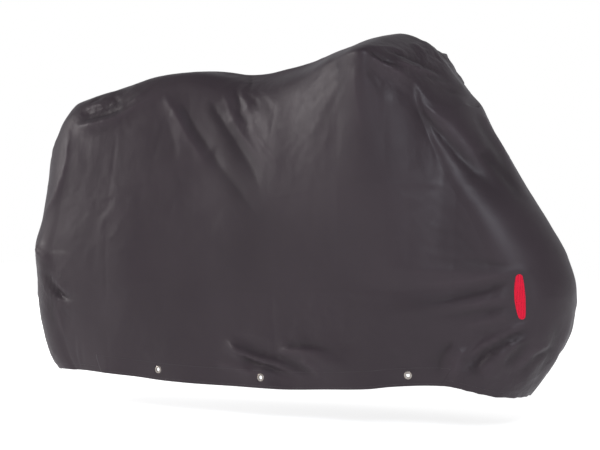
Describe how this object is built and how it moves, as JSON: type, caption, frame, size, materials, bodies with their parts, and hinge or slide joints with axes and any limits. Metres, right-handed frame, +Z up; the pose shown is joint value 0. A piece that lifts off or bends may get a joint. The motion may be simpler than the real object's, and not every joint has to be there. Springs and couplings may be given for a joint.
{
  "type": "fitted bicycle cover",
  "caption": "Hollow fitted bicycle cover of dark grey coated cloth as draped over a bicycle, open at the bottom, with metal eyelets in its hem and a red reflective patch",
  "frame": {"origin": "under the cover's top, where the middle of the handlebar carries it", "axes": "+X towards the bicycle's front wheel, +Y towards its left side, +Z up"},
  "size_m": [1.8722, 0.601, 1.0834],
  "materials": {
    "cover_cloth": "dark warm grey coated taffeta with a soft sheen, creased and crinkled",
    "hem_cloth": "the same coated taffeta turned up and stitched as a hem",
    "eyelet_metal": "pale nickel-plated pressed metal",
    "red_reflector": "red retroreflective sheet with a soft shine"
  },
  "bodies": {
    "root": {"cover_cloth": "cover_cloth", "hem_strip_right": "hem_cloth", "hem_strip_left": "hem_cloth", "eyelet_right_rear": "eyelet_metal", "eyelet_right_middle": "eyelet_metal", "eyelet_right_front": "eyelet_metal", "eyelet_left_rear": "eyelet_metal", "eyelet_left_middle": "eyelet_metal", "eyelet_left_front": "eyelet_metal", "reflector_patch": "red_reflector"}
  },
  "joints": []
}
